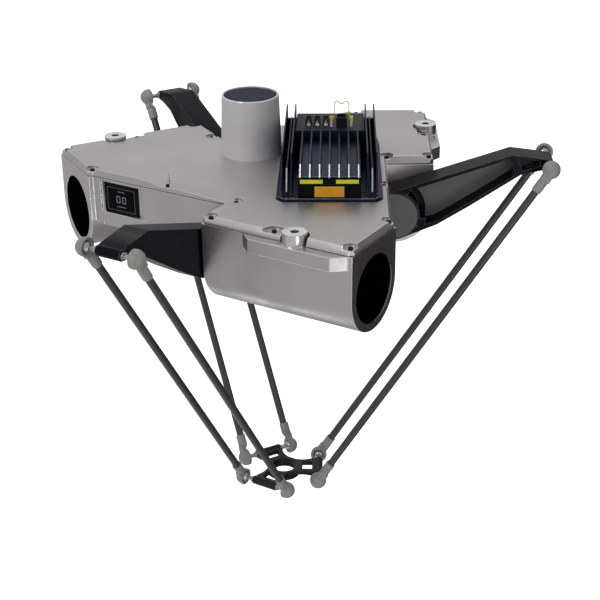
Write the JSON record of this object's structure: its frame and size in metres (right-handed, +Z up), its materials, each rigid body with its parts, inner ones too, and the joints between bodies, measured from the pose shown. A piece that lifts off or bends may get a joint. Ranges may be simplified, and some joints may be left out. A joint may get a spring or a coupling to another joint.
{
  "type": "delta robot",
  "caption": "Ceiling-mounted delta robot: grey three-lobed casing with drives and a finned amplifier, dark inner arms, paired carbon rods on ball joints and a tool platform.",
  "frame": {"origin": "centre of the plane through the tops of the three mounting pads", "axes": "+Z up, +X along the middle of leg a (its inner arm reaches towards +X), -Y towards the front of the amplifier"},
  "size_m": [0.9382, 0.946, 0.7926],
  "materials": {
    "casting_grey": "satin grey paint",
    "cover_grey": "satin grey paint",
    "tower_grey": "satin grey paint",
    "gasket": "matt",
    "black_screw": "black oxide",
    "cap_blue": "satin",
    "anodised_blue": "blue-black anodised",
    "shelf_blue": "blue-black anodised",
    "front_black": "satin",
    "label_orange": "film",
    "label_yellow": "film",
    "connector_body": "moulded",
    "inlet_black": "moulded",
    "bracket_yellow": "satin",
    "bail_wire": "gloss",
    "display_black": "smooth",
    "end_cover_black": "satin",
    "motor_black": "satin",
    "reducer_steel": "turned",
    "flange_steel": "turned",
    "arm_coat": "dark coat, satin",
    "hub_grey": "satin",
    "stud_steel": "polished",
    "rod_carbon": "carbon fibre in resin",
    "socket_plastic": "moulded",
    "ball_steel": "polished",
    "platform_coat": "dark coat, satin",
    "tool_dark": "satin"
  },
  "bodies": {
    "base": {"base_casting": "casting_grey", "top_cover": "cover_grey", "seals": "gasket", "cover_screws": "black_screw", "cable_tower": "tower_grey", "tower_cap": "cap_blue", "heat_sink": "anodised_blue", "amp_front_plate": "front_black", "front_label": "label_orange", "fin_labels": "label_yellow", "connector_shelf": "shelf_blue", "signal_connectors": "connector_body", "power_inlet": "inlet_black", "bail_brackets": "bracket_yellow", "display_panel": "display_black", "display_screws": "black_screw", "end_cover_a": "end_cover_black", "end_cover_b": "end_cover_black", "end_cover_c": "end_cover_black", "servo_motor_a": "motor_black", "servo_motor_b": "motor_black", "servo_motor_c": "motor_black", "gear_reducer_a": "reducer_steel", "gear_reducer_b": "reducer_steel", "gear_reducer_c": "reducer_steel"},
    "bail": {"wire_bail": "bail_wire"},
    "arm_a": {"inner_arm_a": "arm_coat", "drive_flange_a": "flange_steel", "hub_cap_a": "hub_grey", "knee_studs_a": "stud_steel"},
    "arm_b": {"inner_arm_b": "arm_coat", "drive_flange_b": "flange_steel", "hub_cap_b": "hub_grey", "knee_studs_b": "stud_steel"},
    "arm_c": {"inner_arm_c": "arm_coat", "drive_flange_c": "flange_steel", "hub_cap_c": "hub_grey", "knee_studs_c": "stud_steel"},
    "rod_a1": {"rod_tube_a1": "rod_carbon", "rod_sockets_a1": "socket_plastic", "wrist_ball_a1": "ball_steel"},
    "rod_a2": {"rod_tube_a2": "rod_carbon", "rod_sockets_a2": "socket_plastic", "wrist_ball_a2": "ball_steel"},
    "rod_b1": {"rod_tube_b1": "rod_carbon", "rod_sockets_b1": "socket_plastic", "wrist_ball_b1": "ball_steel"},
    "rod_b2": {"rod_tube_b2": "rod_carbon", "rod_sockets_b2": "socket_plastic", "wrist_ball_b2": "ball_steel"},
    "rod_c1": {"rod_tube_c1": "rod_carbon", "rod_sockets_c1": "socket_plastic", "wrist_ball_c1": "ball_steel"},
    "rod_c2": {"rod_tube_c2": "rod_carbon", "rod_sockets_c2": "socket_plastic", "wrist_ball_c2": "ball_steel"},
    "platform": {"platform_plate": "platform_coat", "wrist_studs": "stud_steel", "tool_flange": "tool_dark"}
  },
  "joints": [
    {"name": "arm_a", "type": "hinge", "parent": "base", "child": "arm_a", "pos_m": [0.215, 0, -0.1045], "axis": [0, 1, 0], "range_deg": [0, 39]},
    {"name": "arm_b", "type": "hinge", "parent": "base", "child": "arm_b", "pos_m": [-0.1075, -0.18619, -0.1045], "axis": [0.866, -0.5, 0], "range_deg": [0, 39]},
    {"name": "arm_c", "type": "hinge", "parent": "base", "child": "arm_c", "pos_m": [-0.1075, 0.18619, -0.1045], "axis": [-0.866, -0.5, 0], "range_deg": [0, 39]},
    {"name": "rod_a1", "type": "hinge", "parent": "arm_a", "child": "rod_a1", "pos_m": [0.49779, 0.051, -0.00436], "axis": [0, 1, 0], "range_deg": [-39, 0]},
    {"name": "rod_a2", "type": "hinge", "parent": "arm_a", "child": "rod_a2", "pos_m": [0.49779, -0.051, -0.00436], "axis": [0, 1, 0], "range_deg": [-39, 0]},
    {"name": "rod_b1", "type": "hinge", "parent": "arm_b", "child": "rod_b1", "pos_m": [-0.20473, -0.4566, -0.00436], "axis": [0.866, -0.5, 0], "range_deg": [-39, 0]},
    {"name": "rod_b2", "type": "hinge", "parent": "arm_b", "child": "rod_b2", "pos_m": [-0.29306, -0.4056, -0.00436], "axis": [0.866, -0.5, 0], "range_deg": [-39, 0]},
    {"name": "rod_c1", "type": "hinge", "parent": "arm_c", "child": "rod_c1", "pos_m": [-0.29306, 0.4056, -0.00436], "axis": [-0.866, -0.5, 0], "range_deg": [-39, 0]},
    {"name": "rod_c2", "type": "hinge", "parent": "arm_c", "child": "rod_c2", "pos_m": [-0.20473, 0.4566, -0.00436], "axis": [-0.866, -0.5, 0], "range_deg": [-39, 0]},
    {"name": "platform_lift", "type": "slide", "parent": "base", "child": "platform", "axis": [0, 0, 1], "range_m": [-0.20029, 0]},
    {"name": "bail_swing", "type": "hinge", "parent": "base", "child": "bail", "pos_m": [0.117, 0.032, 0.068], "axis": [1, 0, 0], "range_deg": [-80, 80]}
  ],
  "couplings": [
    {"joint": "arm_b", "follows": "arm_a", "ratio": 1},
    {"joint": "arm_c", "follows": "arm_a", "ratio": 1},
    {"joint": "rod_a1", "follows": "arm_a", "ratio": -1},
    {"joint": "rod_a2", "follows": "arm_a", "ratio": -1},
    {"joint": "rod_b1", "follows": "arm_a", "ratio": -1},
    {"joint": "rod_b2", "follows": "arm_a", "ratio": -1},
    {"joint": "rod_c1", "follows": "arm_a", "ratio": -1},
    {"joint": "rod_c2", "follows": "arm_a", "ratio": -1},
    {"joint": "platform_lift", "follows": "arm_a", "m_per_rad": -0.29424}
  ]
}
